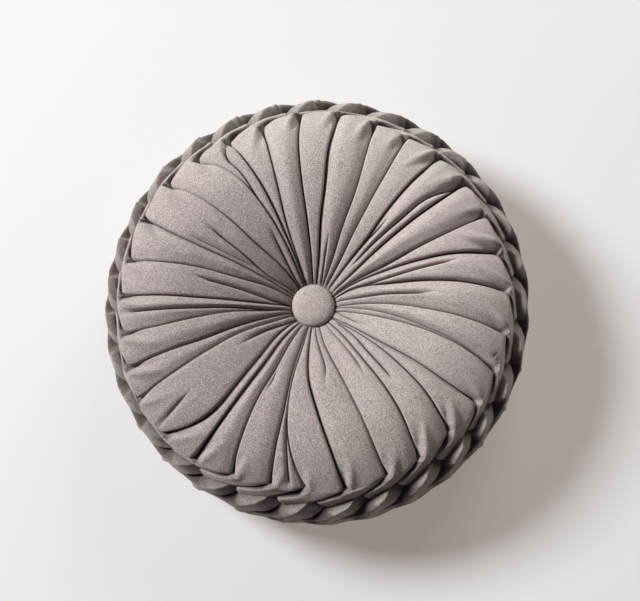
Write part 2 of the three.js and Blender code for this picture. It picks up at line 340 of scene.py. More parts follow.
uneven = np.random.default_rng(11)
pleat_fullness = 1 + FULLNESS_SPREAD * uneven.standard_normal(PLEATS)
pleat_tilt = TILT_SPREAD * uneven.standard_normal(PLEATS)
crease_lap = uneven.uniform(-1, 1, PLEATS)
pocket_side = POCKET_USUAL + POCKET_PULL * np.cos(np.radians(crease_table[:, 0] - PULL_DIRECTION))
pocket_size = pocket_side * (1 + POCKET_SPREAD * uneven.uniform(-1, 1, (2, PLEATS)))
tip_slip = TIP_SPREAD * uneven.uniform(-1, 1, (2, PLEATS))
ridge_size = 1 + RIDGE_SPREAD * uneven.uniform(-1, 1, PLEATS)
ridge_reach = RIDGE_REACH + REACH_SPREAD * uneven.uniform(-1, 1, PLEATS)


def place_in_pleat(column):
    """Place across a pleat from 0 to 1, and the number of the pleat. HAIR guards its first column."""
    index = np.floor(column + HAIR).astype(int)
    return np.clip(column - index, 0, 1), index % PLEATS


def between_knots(values, column):
    """A value of each crease, carried smoothly from one crease to the next."""
    place, pleat = place_in_pleat(column)
    step = blend_step(place, 0, 1)
    return values[pleat] * (1 - step) + values[(pleat + 1) % PLEATS] * step


print("pockets from", round(pocket_size.min(), 2), "to", round(pocket_size.max(), 2), "of the usual size")

# %% [markdown]
# ## Pleats of a face
#
# Across, a pleat is a soft tube pressed against its neighbours: steep rounded edges and a flatter
# back. A fold that starts inside a pleat begins as a shallow dent and deepens towards the button.
# At the rim the stitch pinches up a short ridge beside each knot, and crushes the cloth into a pit
# at the stitch itself, which is painted darker as shade. Lengths here are in mm, and shares are of a
# pleat's height, its width or the radius.

# %% Pleat sizes
BACK_EDGE = 0.8
LEAST_FULLNESS = 0.3
GAP_SHARE = 0.4
LEAST_GAP = 0.3
GAP_WIDTH = 20.0
CRISP_EDGE = 2.0
CRISP_SHARE = 0.3
SOFT_EDGE = 11.0
SOFT_SHARE = 0.5
SOFT_DROP = 0.28
FOLD_ROUNDING = 3.2
SHALLOW_WIDTH = 1.6
DEEP_NARROWING = 0.6
FOLD_START = 0.1
FOLD_END = 0.08
FOLD_OVERRUN = 0.02
NEAR_BUTTON = 0.25
NEAR_RIM = 0.95
LAP = 2.6
LAP_EDGE = 5.0
LAP_WIDTH = 18.0
KNOTS_NEAR = (146, 163)
TILT_START = (30, 90)
REACH_START = 110
RIDGE = 5.0
RIDGE_PLACE = 4.5
RIDGE_WIDTH = 3.6
RIDGE_LEAN = 0.4
RIDGE_DIP = 0.4
RIDGE_DIP_LENGTH = 4
VALLEY = 3.8
VALLEY_PLACE = 1.3
KNOT_PIT = 4.2
KNOT_PIT_SIZE = 2.8
FAR_PIT_SIZE = 1.7
KNOT_DARKENING = 0.75
KNOT_SHADE = 4.5


def pleat_back(place):
    """The flat curve of a pleat's back, a little lower at its edges."""
    return BACK_EDGE + (1 - BACK_EDGE) * (1 - (2 * place - 1) ** 2)


def fold_lines(share):
    """The folds that reach this share of the radius: pleat, direction and depth."""
    lines = []
    for pleat, shares, angles, depth in fold_routes:
        if shares[0] - FOLD_OVERRUN <= share <= shares[-1]:
            starts_at_rim = shares[-1] > NEAR_RIM
            reaches_button = shares[0] < NEAR_BUTTON
            fade_in = 1.0 if starts_at_rim else blend_step(shares[-1] - share, 0.0, FOLD_START)
            fade_out = 1.0 if reaches_button else blend_step(share - shares[0], -FOLD_OVERRUN, FOLD_END)
            lines.append((pleat, smooth_curve(shares, angles, share), depth * fade_in * fade_out))
    return lines


def pleat_edges(place, pleat, width_mm):
    """Height share across a pleat. At a crease one edge lies on top, crisp, and one slides under."""
    share = 1.0
    for crease, distance, on_top in (
        (pleat, place * width_mm, crease_lap[pleat] < 0),
        ((pleat + 1) % PLEATS, (1 - place) * width_mm, crease_lap[(pleat + 1) % PLEATS] > 0),
    ):
        narrowing = np.clip(width_mm / GAP_WIDTH, 0, 1)
        inside = distance - np.maximum(crease_gap[crease] * GAP_SHARE * narrowing, LEAST_GAP)
        crisp = quarter_round(inside / np.minimum(CRISP_EDGE, CRISP_SHARE * width_mm))
        slope = SOFT_DROP * (1 - blend_step(inside, 0, np.minimum(SOFT_EDGE, SOFT_SHARE * width_mm)))
        share = share * crisp * np.where(on_top, 1.0, 1 - slope)
    return share


def pinch(place, pleat, width_mm, inside):
    """What a knot does to the cloth round it, in mm: a ridge, a valley beside it, and a pit."""
    across = place * width_mm
    past_ridge = across - RIDGE_PLACE - RIDGE_LEAN * inside
    fade = ridge_size[pleat] * (1 - blend_step(inside, 1.0, ridge_reach[pleat]))
    at_knot = 1 - RIDGE_DIP * swell(inside, RIDGE_DIP_LENGTH)
    ridge = RIDGE * fade * at_knot * swell(past_ridge, RIDGE_WIDTH)
    valley = VALLEY * fade * swell(past_ridge + RIDGE_WIDTH * VALLEY_PLACE, RIDGE_WIDTH)
    near = (across / KNOT_PIT_SIZE) ** 2 + (inside / KNOT_PIT_SIZE) ** 2
    far = ((width_mm - across) / FAR_PIT_SIZE) ** 2 + (inside / KNOT_PIT_SIZE) ** 2
    return ridge - valley - KNOT_PIT * (np.exp(-near) + np.exp(-far))


def knot_shade(place, width_mm, inside):
    """Share of the light that reaches the cloth crushed at a knot."""
    past_ridge = (place * width_mm - KNOT_SHADE) / KNOT_SHADE
    return 1 - KNOT_DARKENING * np.exp(-(past_ridge**2) - (inside / KNOT_SHADE) ** 2)


print("a ridge is", RIDGE, "mm high and", RIDGE_WIDTH, "mm wide")


# %% Rings of a face
def face_ring(radius, column):
    """One ring of a face: radius, direction, height above the wall's middle, and share of light."""
    share = radius / KNOT_RADIUS
    drop, puff = smooth_curve(FACE_SECTION[:, 0], FACE_SECTION[:, 1:], radius)
    angle, width = column_angle(column, share)
    place, pleat = place_in_pleat(column)
    width_mm = np.radians(width) * radius

    full = LEAST_FULLNESS + (1 - LEAST_FULLNESS) * np.clip(width / PLEAT_ANGLE, 0, 1)
    share_up = pleat_edges(place, pleat, width_mm) * pleat_back(place)
    for fold_pleat, fold_angle, depth in fold_lines(share):
        away = np.radians(np.abs(angle % 360 - fold_angle % 360)) * radius
        rounding = FOLD_ROUNDING * (SHALLOW_WIDTH - DEEP_NARROWING * depth)
        groove = quarter_round((away - LEAST_GAP) / rounding)
        share_up = np.where(pleat == fold_pleat, share_up * (1 - depth * (1 - groove)), share_up)
    rise = puff * full * pleat_fullness[pleat] * share_up
    away_from_knots = 1 - blend_step(radius, *KNOTS_NEAR)
    tilt = pleat_tilt[pleat] * (place - 0.5) * share_up * blend_step(radius, *TILT_START)
    rise = rise + tilt * away_from_knots
    rise = rise + pinch(place, pleat, width_mm, KNOT_RADIUS - radius)

    lean_start = crease_lap[pleat] * swell(place * width_mm, LAP_EDGE)
    lean_end = crease_lap[(pleat + 1) % PLEATS] * swell((1 - place) * width_mm, LAP_EDGE)
    lap = LAP * share_up * (lean_start + lean_end) * np.clip(width_mm / LAP_WIDTH, 0, 1) * away_from_knots
    angle = angle + np.degrees(lap / radius)

    slope = SHOULDER * blend_step(radius, SHOULDER_START, KNOT_RADIUS)
    reach = between_knots(knot_reach, column) * blend_step(radius, REACH_START, KNOT_RADIUS)
    return (
        radius + rise * np.sin(slope) + reach,
        angle,
        HALF_THICKNESS - drop + rise * np.cos(slope),
        share_up * knot_shade(place, width_mm, KNOT_RADIUS - radius),
    )


CROWN_RADIUS = 118.0
crown = face_ring(CROWN_RADIUS, crowded(column_seed))
print("the crown stands", round(float(crown[2].max()), 1), "mm above the middle of the wall")

# %% [markdown]
# ## Bands of the wall
#
# At its knot each pleat leans over and runs on down the wall as a band. Its outer edge is a crisp
# fold that laps over the next band. Its inner edge curls over a dark pocket, which is widest just
# past the knot. Its tip laps over the start of the same band's next length, so the whole wall looks
# braided. All this could be folded and stitched in a cloth simulation, but that takes far longer
# than the lesson may and crumples the cloth, so the folds are described by sizes instead. Lengths
# are in mm, and names with ROWS in them count rows of the wall.

# %% Sizes of a band
BAND_PUFF = 8.0
BAND_WIDTH = 13.8
BAND_EDGE = 1.5
BAND_INNER = 4.4
KNOT_INNER = 1.2
KNOT_ROWS = 0.12
BAND_LAP = 1.2
LAP_ROUNDING = 3.5
BAND_CREST = 1.8
CREST_WIDTH = 3.2
CREST_ROWS = (0.3, 0.75)
BAND_CURL = 3.9
CURL_WIDTH = 3.4
BAND_FALL = 0.42
POCKET = 4.4
POCKET_ROWS = 0.62
POCKET_SKEW = 0.6
POCKET_LIMIT = 1.3
POCKET_DEPTH = 9.0
POCKET_RISE = (0.08, 1.05)
POCKET_LIGHT = (0.7, 1.28)
TIP_ROUNDING = 1.1
TIP_LAP = 2.2
TIP_FALL = 0.62
TIP_FALL_LENGTH = 17.0
TIP_SHIFT = 0.49
CORNER_PLACE = 0.2
TIP_CORNER = 0.04
HEEL_CORNER = 0.03
FIRST_TIP = 0.97
TURN_ROWS = 0.16
PINCH_ROWS = 0.6
BAND_TUCK = 3.5
TUCK_ROWS = 0.05
TUCK_START = 2
TUCK_LENGTH = 20.0
TUCK_LIFT = 0.5
MIDDLE_PUFF = 5.0
SECOND_LIGHT = 0.4
TUCK_LIGHT = 0.35

# %% Sizes of the wall
WALL_RADIUS = 175.0
ROW_SPREAD = 0.25
OVAL = 3.0
OVAL_ROWS = 1.4
WALL_REACH = 1.5

row_sideways = BRAID_LEAN * math.radians(PLEAT_ANGLE) * WALL_RADIUS
BAND_RUN = math.hypot(row_sideways, ROW_PITCH)
BAND_SLOPE = math.atan2(ROW_PITCH, row_sideways)
print("a band drops", round(math.degrees(BAND_SLOPE)), "degrees and runs", round(BAND_RUN), "mm a row")


def wall_place(column, rows, rise, across=0.0, onward=0.0):
    """A point of the wall, some rows below the knots, moved across or onward along its band, in mm."""
    down = rows - ROW_SPREAD * np.sin(math.pi * rows / HALF_ROWS)
    down = down + (across * math.cos(BAND_SLOPE) + onward * math.sin(BAND_SLOPE)) / ROW_PITCH
    slope = SHOULDER + (math.pi / 2 - SHOULDER) * down / HALF_ROWS
    radius = KNOT_RADIUS + WALL_CURVE * (np.sin(slope) - math.sin(SHOULDER))
    height = WALL_CURVE * np.cos(slope)
    lean = BRAID_LEAN * PLEAT_ANGLE
    near = column_angle(column, 1.0)[0] - lean * rows
    far = -(column_angle(FACE_SWAP - column, 1.0)[0] - lean * (BRAID_ROWS - rows))
    mix = blend_step(rows, 0, BRAID_ROWS)
    aside = across * math.sin(BAND_SLOPE) - onward * math.cos(BAND_SLOPE)
    angle = near + (far - near) * mix + np.degrees(aside / radius)
    reach = between_knots(knot_reach, column) * (1 - blend_step(rows, 0, 1.0))
    reach = reach + (WALL_REACH + OVAL * np.sin(np.radians(angle)) ** 2) * blend_step(rows, 0, OVAL_ROWS)
    return radius + rise * np.sin(slope) + reach, angle, height + rise * np.cos(slope)


def tip_line(row, place, pleat):
    """Rows from the knots to the end of a band, slanting across it, with rounded corners."""
    corner = TIP_CORNER * np.clip((place - (1 - CORNER_PLACE)) / CORNER_PLACE, 0, 1) ** 2
    corner = corner + HEEL_CORNER * np.clip(1 - place / CORNER_PLACE, 0, 1) ** 2
    return row + FIRST_TIP + tip_slip[row, pleat] - TIP_SHIFT * (1 - place) - corner


# %% Across a band
def band_profile(place, pleat, past_knot, row):
    """Across a band: share of the puff, what pocket and crest add to it, light, and curl in mm."""
    behind = np.sin(math.pi * np.clip(past_knot / POCKET_ROWS, 0, 1) ** POCKET_SKEW)
    opening = np.minimum(pocket_size[row, pleat] * behind, POCKET_LIMIT)
    across = place * BAND_WIDTH
    inner = KNOT_INNER + (BAND_INNER - KNOT_INNER) * np.clip(past_knot / KNOT_ROWS, 0, 1)
    width = POCKET * opening + inner
    hollow = blend_step(across, POCKET_RISE[0] * width, POCKET_RISE[1] * width)
    open_share = np.clip(opening, 0, 1)
    rising = quarter_round(across / width) * (1 - open_share) + hollow * open_share
    share = rising * quarter_round((BAND_WIDTH - across) / BAND_EDGE)
    crest = BAND_CREST * swell(across - width, CREST_WIDTH) * (1 - blend_step(past_knot, *CREST_ROWS))
    crest = crest - BAND_PUFF * BAND_FALL * place**2
    curl = -BAND_CURL * open_share * share * swell(across - width, CURL_WIDTH)
    out = blend_step(across, POCKET_LIGHT[0] * width, POCKET_LIGHT[1] * width)
    light = share * (1 - behind * (1 - out))
    return share, crest * share - POCKET_DEPTH * opening * (1 - rising), light, curl


def band_laps(place, share, to_tip):
    """How far the crisp outer edge and the tip stand over what lies next to them, in mm."""
    outer = swell((1 - place) * BAND_WIDTH, LAP_ROUNDING)
    return BAND_LAP * outer * share, TIP_LAP * swell(to_tip, LAP_ROUNDING) * share


WIDEST_ROWS = 0.2
trial_places = np.linspace(0, 1, 40)
first_pocket = band_profile(trial_places, np.zeros(len(trial_places), int), WIDEST_ROWS, 0)
print("the first pocket is", round(-float(first_pocket[1].min()), 1), "mm deep")


# %% Rings of the wall
def first_band_ring(column, along):
    """A ring of the bands next to the face. along is 0 at the knots and 1 at the tips."""
    place, pleat = place_in_pleat(column)
    tip = tip_line(0, place, pleat)
    rows = along * tip
    to_tip = (tip - rows) * BAND_RUN
    band, extra, light, curl = band_profile(place, pleat, rows - TIP_SHIFT * place, 0)
    knot_width = math.radians(PLEAT_ANGLE) * KNOT_RADIUS
    top = pleat_edges(place, pleat, knot_width) * pleat_back(place)
    turn = blend_step(rows, 0.0, TURN_ROWS)
    end = quarter_round(to_tip / TIP_ROUNDING)
    share = (top + (band - top) * turn) * end
    pinched = pinch(place, pleat, knot_width, -rows * ROW_PITCH * PINCH_ROWS) * (1 - turn)
    full = 1 + (pleat_fullness[pleat] - 1) * (1 - turn)
    full = full * (1 - TIP_FALL * swell(to_tip, TIP_FALL_LENGTH))
    rise = BAND_PUFF * full * share + extra * turn * end + pinched
    across, onward = band_laps(place, share, to_tip)
    light = (top + (light - top) * turn) * knot_shade(place, knot_width, rows * ROW_PITCH)
    return (*wall_place(column, rows, rise, (across + curl) * turn, onward), light * end)


def second_band_ring(column, along):
    """A ring of the bands that start under the tips of the first ones."""
    place, pleat = place_in_pleat(column)
    start = tip_line(0, place, pleat) - TUCK_ROWS
    tip = tip_line(1, place, pleat)
    rows = start + (tip - start) * along
    to_tip = (tip - rows) * BAND_RUN
    share, extra, light, curl = band_profile(place, pleat, rows - FIRST_TIP - TIP_SHIFT * place, 1)
    end = quarter_round(to_tip / TIP_ROUNDING)
    out = blend_step((rows - start) * BAND_RUN, TUCK_START, TUCK_LENGTH)
    share = share * end
    full = 1 - TIP_FALL * swell(to_tip, TIP_FALL_LENGTH)
    rise = (BAND_PUFF * full + BAND_TUCK) * share * out - BAND_TUCK + extra * out * end
    rise = rise + BAND_TUCK * (1 - end) * TUCK_LIFT
    across, onward = band_laps(place, share, to_tip)
    # Painted shade: a second band gets less light than a first, and less again where it tucks in under a
    # tip.
    light = light * end * SECOND_LIGHT * (TUCK_LIGHT + (1 - TUCK_LIGHT) * out)
    return (*wall_place(column, rows, rise, (across + curl) * out, onward), light)


def middle_ring(column, along):
    """The middle of the wall, under the tips of both halves. along is 0.5 at its middle ring."""
    place, pleat = place_in_pleat(column)
    start = 1 + FIRST_TIP - TIP_SHIFT * (1 - place)
    end = BRAID_ROWS - (1 + FIRST_TIP - TIP_SHIFT * place)
    rows = start + (end - start) * along
    across = place * BAND_WIDTH
    share = quarter_round(across / BAND_INNER) * quarter_round((BAND_WIDTH - across) / BAND_INNER)
    out = math.sin(math.pi * along)
    rise = (MIDDLE_PUFF + BAND_TUCK) * share * out - BAND_TUCK
    return (*wall_place(column, rows, rise), share * out)


widest = middle_ring(crowded(column_seed), 0.5)[0]
print("the wall reaches", round(float(widest.max()), 1), "mm from its axis")

# %% [markdown]
# ## The cover
#
# Rings are stacked from the seat of one button to the seat of the other. The hidden face is the
# same shape turned over, as the real cover is the same at both ends of its tube. Where the
# cushion lies on its surface, the cloth is flat. Each point also keeps the share of the light that
# reaches it, from 0 deep in a crease or pocket to 1 on the back of a pleat, for the velvet to read.

# %% Steps of the rings
FACE_STRETCHES = [
    # from this radius, to this one, rings
    (SEAT_RADIUS, 34, 7),
    (34, 136, 16),
    (136, KNOT_RADIUS, 11),
]
FIRST_STEPS = [
    0, 0.03, 0.07, 0.13, 0.2, 0.28, 0.37, 0.47, 0.57, 0.67, 0.77, 0.85, 0.915, 0.955, 0.98, 0.994, 1,
]
SECOND_STEPS = [0.0, 0.07, 0.14, 0.23, 0.33, 0.43, 0.54, 0.65, 0.76, 0.85, 0.92, 0.96, 0.982, 1.0]
MIDDLE_STEPS = [0.06]

half_rings = []
for inner, outer, count in FACE_STRETCHES:
    half_rings += [(face_ring, radius) for radius in np.linspace(inner, outer, count, endpoint=False)]
half_rings += [(first_band_ring, step) for step in FIRST_STEPS]
half_rings += [(second_band_ring, step) for step in SECOND_STEPS]
half_rings += [(middle_ring, step) for step in MIDDLE_STEPS]
print(len(half_rings), "rings from a button's seat to the middle of the wall")


# %% Build the cover's grid
def as_rows(ring):
    """Radius, direction, height and share of light of a ring as columns of one array."""
    return np.stack(np.broadcast_arrays(*ring), axis=-1)


def ring_columns(share, flip):
    """Column places of a ring. flip walks the columns of the hidden face."""
    column = face_columns(share)
    if not flip:
        return column
    turned = np.roll(column[::-1], FACE_SWAP * COLUMNS_PER_PLEAT + 1)
    wraps = np.arange(len(column)) > FACE_SWAP * COLUMNS_PER_PLEAT
    return turned - PLEATS * wraps


def half_surface(flip):
    """All rings of one face's half."""
    rings = []
    for shape, step in half_rings:
        if shape is face_ring:
            rings.append(as_rows(shape(step, ring_columns(step / KNOT_RADIUS, flip))))
        else:
            rings.append(as_rows(shape(ring_columns(1.0, flip), step)))
    return rings


def to_points(ring, side):
    """Points in mm from radius, direction and height. side is 1 for the face that shows."""
    turn = np.radians(side * ring[:, 1])
    pulled = BUTTON_SHIFT * (1 - blend_step(ring[:, 0], SHIFT_START, SHIFT_END))
    x = pulled + ring[:, 0] * np.cos(turn)
    z = HALF_THICKNESS + side * ring[:, 2] - SETTLE
    return np.stack([x, ring[:, 0] * np.sin(turn), z], axis=-1)


upper = half_surface(False)
lower = half_surface(True)
equator = as_rows(middle_ring(crowded(column_seed), 0.5))

points = [to_points(ring, 1) for ring in upper]
points.append(to_points(equator, 1))
points += [to_points(ring, -1) for ring in lower[::-1]]
points = np.array(points)
lights = np.array([ring[:, 3] for ring in upper + [equator] + lower[::-1]])
points[..., 2] = np.maximum(points[..., 2], 0.0)
print("cover grid:", points.shape[0], "rings by", points.shape[1], "columns")


# %% Make the mesh
def grid_mesh(name, grid, lights):
    """A closed mesh from rings of points and their light, with a middle point at each end."""
    rings, columns, _ = grid.shape
    middles = np.array([grid[0].mean(axis=0), grid[-1].mean(axis=0)])
    verts = np.concatenate([grid.reshape(-1, 3), middles]) * MM
    verts[:, 0] += AXIS_X
    verts[:, 1] += AXIS_Y
    number = np.arange(rings * columns).reshape(rings, columns)
    after = np.roll(number, -1, axis=1)
    quads = np.stack([number[:-1], number[1:], after[1:], after[:-1]], axis=-1).reshape(-1, 4)
    faces = quads.tolist()
    faces += [(rings * columns, a, b) for a, b in zip(number[0].tolist(), after[0].tolist())]
    faces += [(rings * columns + 1, b, a) for a, b in zip(number[-1].tolist(), after[-1].tolist())]
    mesh = bpy.data.meshes.new(name)
    mesh.from_pydata(verts.tolist(), [], faces)
    mesh.update()
    # Painted shade: each point keeps the share of light that reaches it, and the velvet darkens creases,
    # pockets and knots from it.
    light = mesh.attributes.new("painted_crease_shade", "FLOAT", "POINT")
    light.data.foreach_set("value", np.concatenate([lights.ravel(), [0.0, 0.0]]).astype(np.float32))
    mesh.shade_smooth()
    piece = bpy.data.objects.new(name, mesh)
    bpy.context.collection.objects.link(piece)
    return piece


cover = grid_mesh("velvet_cover", points, lights)
triangles = sum(len(face.vertices) - 2 for face in cover.data.polygons)
print("cover:", triangles, "triangles")

# %% [markdown]
# ## The covered buttons
#
# A covered button is a metal or plastic dome with a disc of the same velvet pulled over it and
# gathered behind. It could be turned in one spin, but here a short cylinder is taken and its top
# face is inset and raised again and again, as one would by hand, because each step shows in the
# table. The gathers at its edge are then pressed in by moving points.

# %% Sizes of the covered button
BUTTON_SIDES = 48
BUTTON_SIDE_HEIGHT = 4.6
DOME_STEPS = [
    # inset, rise
    (1.0, 1.5),
    (2.0, 1.5),
    (3.2, 1.3),
    (4.2, 0.8),
    (4.6, 0.35),
]
LEVEL_FACE = 0.9
HEM_INSET = 1.2
BASE_INSET = 8
ROUNDING_STEPS = 2
GATHERS = 27
GATHER_WAVES = 3
GATHER_DEPTH = 0.35
GATHER_START = 0.5
GATHER_OVERRUN = 1.2
EDGE_PULL = 4

print("the dome rises", sum(rise for _, rise in DOME_STEPS), "mm over a side of", BUTTON_SIDE_HEIGHT, "mm")


# %% Make the buttons
def select_faces(piece, wanted):
    """Select only the faces that pass a test, and open the piece in edit mode."""
    bpy.ops.object.mode_set(mode="OBJECT")
    for group in (piece.data.vertices, piece.data.edges):
        for part in group:
            part.select = False
    for face in piece.data.polygons:
        face.select = wanted(face)
    bpy.ops.object.mode_set(mode="EDIT")


def covered_button(name, node, side):
    """A domed button in the place of a CAD node. side is 1 where its dome points up."""
    low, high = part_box(node)
    base = low[2] if side > 0 else high[2]
    radius = (high[0] - low[0]) / 2
    bpy.ops.object.select_all(action="DESELECT")
    bpy.ops.mesh.primitive_cylinder_add(
        vertices=BUTTON_SIDES, radius=radius, depth=BUTTON_SIDE_HEIGHT * MM,
        location=(0, 0, BUTTON_SIDE_HEIGHT * MM / 2),
    )
    piece = bpy.context.object
    piece.name = name
    bpy.context.tool_settings.mesh_select_mode = (False, False, True)
    select_faces(piece, lambda face: face.normal.z > LEVEL_FACE)
    for inset, rise in DOME_STEPS:
        bpy.ops.mesh.inset(thickness=inset * MM)
        bpy.ops.transform.translate(value=(0, 0, rise * MM))
    bpy.ops.mesh.poke()
    select_faces(piece, lambda face: face.normal.z < -LEVEL_FACE)
    bpy.ops.mesh.inset(thickness=HEM_INSET * MM)
    bpy.ops.mesh.inset(thickness=BASE_INSET * MM)
    bpy.ops.mesh.poke()
    bpy.ops.object.mode_set(mode="OBJECT")
    piece.modifiers.new("round", "SUBSURF")
    piece.modifiers["round"].levels = ROUNDING_STEPS
    piece.modifiers["round"].render_levels = ROUNDING_STEPS
    bpy.ops.object.modifier_apply(modifier="round")
    for point in piece.data.vertices:
        x, y, z = point.co
        around = math.atan2(y, x)
        near_base = 1 - blend_step(z / MM, GATHER_START, BUTTON_SIDE_HEIGHT + GATHER_OVERRUN)
        uneven_turn = GATHERS * around + math.sin(GATHER_WAVES * around)
        pull = GATHER_DEPTH * near_base * (0.5 + 0.5 * math.cos(uneven_turn))
        share = 1 - pull * MM / radius * (math.hypot(x, y) / radius) ** EDGE_PULL
        point.co = (x * share, y * share, z)
    piece.rotation_euler = (0 if side > 0 else math.pi, 0, 0)
    piece.location = (BUTTON_X, BUTTON_Y, base)
    bpy.ops.object.transform_apply(location=True, rotation=True, scale=True)
    piece.data.shade_smooth()
    print(name, len(piece.data.polygons), "faces, base at", round(base / MM, 1), "mm")
    return piece


button_front = covered_button("covered_button", "button_top", 1)
button_rear = covered_button("covered_button_back", "button_back", -1)

# %% [markdown]
# ## Writing materials as sums
#
# A material is a network of nodes. It could be put together with the mouse, but a sum such as
# tone * 2 + 1 is easier to read than three nodes and their links. So one small class wraps a
# socket, and every sign between two values adds the node that does it. A second class holds a
# material and adds any other kind of node.

# %% Values in an expression
class Value:
    """A socket that can be used in a Python expression, each operator adding a Math node."""

    def __init__(self, tree, socket):
        self.tree = tree
        self.socket = socket

    def math(self, operation, *others, swap=False):
        node = self.tree.nodes.new("ShaderNodeMath")
        node.operation = operation
        terms = [self, *others]
        if swap:
            terms = terms[::-1]
        for entry, term in zip(node.inputs, terms):
            if isinstance(term, Value):
                self.tree.links.new(term.socket, entry)
            else:
                entry.default_value = term
        return Value(self.tree, node.outputs[0])

    def __add__(self, other):
        return self.math("ADD", other)

    __radd__ = __add__

    def __mul__(self, other):
        return self.math("MULTIPLY", other)

    __rmul__ = __mul__

    def __sub__(self, other):
        return self.math("SUBTRACT", other)

    def __rsub__(self, other):
        return self.math("SUBTRACT", other, swap=True)

    def __pow__(self, other):
        return self.math("POWER", other)


print("values can be added, subtracted, multiplied and raised to a power")


# %% Materials and their nodes
class Material:
    """A node material and one method that adds any node to it."""

    def __init__(self, name):
        self.material = bpy.data.materials.new(name)
        self.material.use_nodes = True
        self.tree = self.material.node_tree
        self.shader = self.tree.nodes["Principled BSDF"]

    def node(self, kind, settings=None, output=0, **sockets):
        node = self.tree.nodes.new(kind)
        for key, value in (settings or {}).items():
            setattr(node, key, value)
        for key, value in sockets.items():
            entry = node.inputs[int(key[1:])] if key[0] == "i" and key[1:].isdigit() else node.inputs[key]
            if isinstance(value, Value):
                self.tree.links.new(value.socket, entry)
            else:
                entry.default_value = value
        return Value(self.tree, node.outputs[output])

    def feed(self, name, value):
        self.tree.links.new(value.socket, self.shader.inputs[name])

    def const(self, name, value):
        self.shader.inputs[name].default_value = value


print("a material starts as one shader and takes any node")

# %% [markdown]
# ## Velvet
#
# Velvet is a cloth with a short upright pile. Seen closely it is a fine grain of tufts, some of
# which show their dark root side. Hair particles would show it too, but at this distance one tuft
# is smaller than a pixel, so two fine noises do it in colour and in bump. Light is painted into the
# colour as well: the cloth is painted lighter towards one corner of the cushion and darker towards
# the other, and painted shade darkens it round the button, most of all on one side. A weak wide
# noise stands for the marks of hands, another for the slight olive cast. Where a point of the cover
# gets little light, painted shade takes the colour down to that of dark roots. Sheen gives the pale
# edge that velvet has where it turns away.

# %% Sizes of the painted light and shade in the velvet
SHADING_RADIUS = 0.19
CORNER_LIGHT = 0.48
CORNERWISE = 0.71
HUB_SHADE = 0.075
HUB_SHADE_LEAN = 0.15
HUB_SHADE_SPREAD = 0.15
USUAL_TONE = 0.57
PATCH_SCALE = 24.0
PATCH_TONE = 0.4
PILE_SCALE = 2200.0
PILE_TONE = 4.6
PILE_HEIGHT = 0.6
TUFT_SCALE = 1300.0
TUFT_TONE = 5.0
TUFT_HEIGHT = 0.8
CAST_SCALE = 9.0
CAST_RANGE = (0.35, 0.65)
FULLY_LIT = 0.5
print("one tuft is about", round(1 / TUFT_SCALE / MM, 1), "mm wide")


# %% Colours of the velvet
COVER_ROOT = (0.25, 0.203, 0.195, 1.0)
COVER_TIP = (0.635, 0.527, 0.511, 1.0)
BUTTON_ROOT = (0.264, 0.214, 0.206, 1.0)
BUTTON_TIP = (0.668, 0.554, 0.537, 1.0)
OLIVE = (0.985, 1.045, 0.985)
# Painted shade for creases, pockets and knots: the roots' colour taken darker still.
CREASE_SHADE_TINT = (0.25, 0.23, 0.22)


def tinted(colour, tint):
    """A colour whose red, green and blue are each taken times a tint."""
    return (colour[0] * tint[0], colour[1] * tint[1], colour[2] * tint[2], 1.0)


print("in a fold the roots are", tuple(round(part, 3) for part in tinted(COVER_ROOT, CREASE_SHADE_TINT)[:3]))


# %% Nodes that the velvet uses often
def noise(m, place, scale, detail, roughness=0.5):
    """A noise over the piece, a value that wavers about 0.5."""
    return m.node(
        "ShaderNodeTexNoise", None, 0, Vector=place, Scale=scale, Detail=detail, Roughness=roughness,
    )


def spread(m, value, low, high):
    """A value stretched so that low becomes 0 and high becomes 1, and no more than that."""
    return m.node("ShaderNodeMapRange", None, 0, Value=value, i1=low, i2=high, i3=0.0, i4=1.0)


def mixed(m, share, first, second):
    """A colour that goes from the first to the second as share goes from 0 to 1."""
    return m.node("ShaderNodeMix", {"data_type": "RGBA"}, 2, i0=share, i6=first, i7=second)


print("noise, spread and mixed add one node each")


